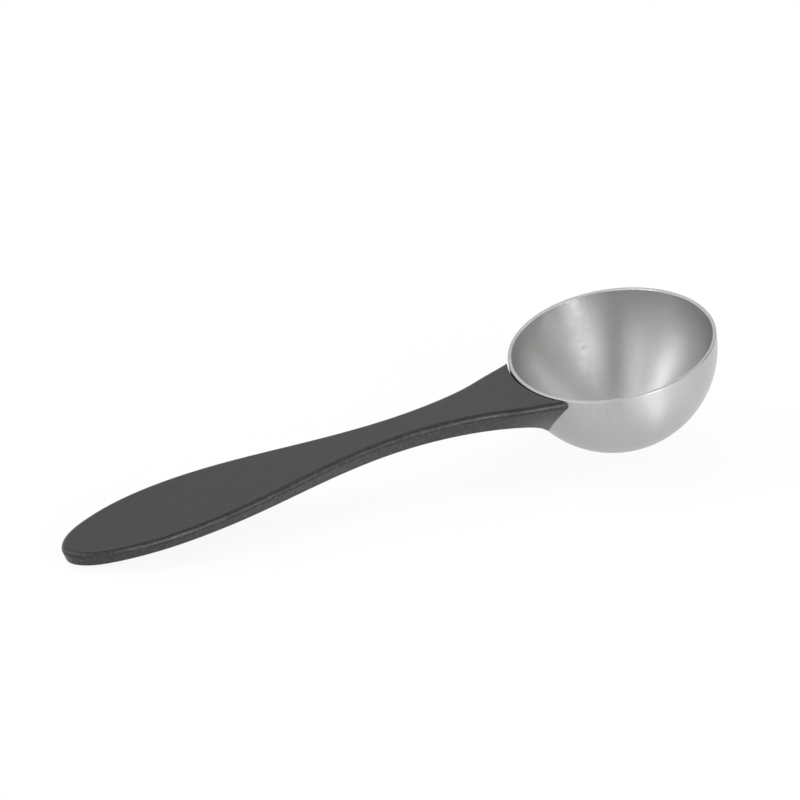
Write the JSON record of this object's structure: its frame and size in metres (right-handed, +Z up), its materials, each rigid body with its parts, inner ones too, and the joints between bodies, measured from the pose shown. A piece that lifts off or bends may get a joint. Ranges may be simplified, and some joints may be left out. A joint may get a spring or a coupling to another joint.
{
  "type": "measuring spoon",
  "caption": "Round steel measuring scoop on a long moulded handle that narrows to a waist, widens to the palm and cradles the bowl with a keeled mouth.",
  "frame": {"origin": "middle of the footprint, on the surface that the spoon lies on", "axes": "+Z up, +X from the handle's tip to the bowl, the spoon lies on its bowl and on the tip of its handle"},
  "size_m": [0.1695, 0.049, 0.0317],
  "materials": {
    "bowl_steel": "brushed round the bowl's axis",
    "tang_steel": "as stamped",
    "handle_plastic": "fine moulded grain"
  },
  "bodies": {
    "root": {"bowl": "bowl_steel", "tang": "tang_steel", "handle": "handle_plastic"}
  },
  "joints": []
}
